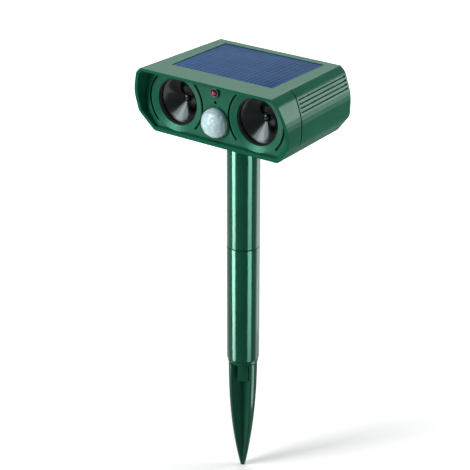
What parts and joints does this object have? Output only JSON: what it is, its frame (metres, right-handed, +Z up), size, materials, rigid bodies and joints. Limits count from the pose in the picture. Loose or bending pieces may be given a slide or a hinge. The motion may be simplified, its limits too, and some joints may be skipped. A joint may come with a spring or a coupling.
{
  "type": "ultrasonic pest repeller",
  "caption": "Solar garden pest repeller: a ribbed box head with round speakers and a motion-sensor dome under a visor, on a plug-together tube pole with a finned ground spike.",
  "frame": {"origin": "on the pole's axis at the soil line, the underside of the ground spike's collar", "axes": "+Z up along the pole; the speakers face -Y and the dials face +Y; +X is the right of a viewer who faces the speakers"},
  "size_m": [0.1612, 0.1182, 0.4004],
  "materials": {
    "green_plastic": "dark green moulded plastic, satin",
    "tube_plastic": "dark green tube, glossy",
    "panel_plastic": "dark green moulded panel, fine matt",
    "black_plastic": "black moulded plastic",
    "black_rubber": "black rubber and foam",
    "aluminium_cone": "bright spun foil",
    "brass_disc": "plain",
    "steel": "plated",
    "lens_plastic": "milky white lens",
    "red_led": "red tinted clear plastic",
    "solar_cells": "dark blue cells under clear resin",
    "circuit_board": "green solder mask",
    "copper_winding": "varnished copper wire",
    "battery_wrapper": "plain printed sleeve",
    "red_lead": "plain",
    "grey_lead": "plain"
  },
  "bodies": {
    "spike": {"ground_spike": "tube_plastic"},
    "lower_tube": {"lower_tube": "tube_plastic"},
    "upper_tube": {"upper_tube": "tube_plastic"},
    "frequency_dial": {"frequency_shaft": "steel", "frequency_knob": "black_plastic"},
    "sensitivity_dial": {"sensitivity_shaft": "steel", "sensitivity_knob": "black_plastic"},
    "port_cover": {"port_cover": "black_rubber"},
    "battery_door": {"battery_door": "green_plastic"},
    "head": {"battery_contact_left": "steel", "battery_contact_right": "steel", "battery_front_left": "battery_wrapper", "battery_front_right": "battery_wrapper", "battery_rear_left": "battery_wrapper", "battery_rear_right": "battery_wrapper", "board_screw_1": "steel", "board_screw_2": "steel", "board_screw_3": "steel", "board_screw_4": "steel", "case_screw_1": "steel", "case_screw_2": "steel", "case_screw_3": "steel", "case_screw_4": "steel", "charging_socket": "steel", "control_chip": "black_plastic", "frequency_pot": "steel", "front_panel": "panel_plastic", "led_clip": "black_plastic", "left_speaker_cone": "aluminium_cone", "left_speaker_frame": "black_plastic", "left_speaker_gasket": "black_rubber", "left_speaker_lead": "red_lead", "left_speaker_piezo": "brass_disc", "lens_retainer": "black_plastic", "light_sensor": "black_plastic", "lower_case": "green_plastic", "main_board": "circuit_board", "pir_lens": "lens_plastic", "pir_sensor": "steel", "rear_panel": "panel_plastic", "right_speaker_cone": "aluminium_cone", "right_speaker_frame": "black_plastic", "right_speaker_gasket": "black_rubber", "right_speaker_lead": "red_lead", "right_speaker_piezo": "brass_disc", "sensitivity_pot": "steel", "sensor_board": "circuit_board", "sensor_cable": "grey_lead", "sensor_screw_left": "steel", "sensor_screw_right": "steel", "solar_lead": "red_lead", "solar_pad": "black_rubber", "solar_panel": "solar_cells", "status_led": "red_led", "step_up_transformer_left": "copper_winding", "step_up_transformer_right": "copper_winding", "storage_capacitor": "black_plastic", "upper_case": "green_plastic"}
  },
  "joints": [
    {"name": "lower_tube_pull", "type": "slide", "parent": "spike", "child": "lower_tube", "axis": [0, 0, 1], "range_m": [0, 0.03]},
    {"name": "upper_tube_pull", "type": "slide", "parent": "lower_tube", "child": "upper_tube", "axis": [0, 0, 1], "range_m": [0, 0.03]},
    {"name": "head_swivel", "type": "hinge", "parent": "upper_tube", "child": "head", "pos_m": [0, 0, 0.2251], "axis": [0, 0, 1], "continuous": true},
    {"name": "frequency_turn", "type": "hinge", "parent": "head", "child": "frequency_dial", "pos_m": [0.028, 0.0526, 0.2685], "axis": [0, 1, 0], "range_deg": [-135, 135]},
    {"name": "sensitivity_turn", "type": "hinge", "parent": "head", "child": "sensitivity_dial", "pos_m": [-0.028, 0.0526, 0.2685], "axis": [0, 1, 0], "range_deg": [-135, 135]},
    {"name": "port_cover_flip", "type": "hinge", "parent": "head", "child": "port_cover", "pos_m": [0, 0.0528, 0.2622], "axis": [1, 0, 0], "range_deg": [0, 150]},
    {"name": "battery_door_slide", "type": "slide", "parent": "head", "child": "battery_door", "axis": [0, 1, 0], "range_m": [0, 0.045]}
  ]
}
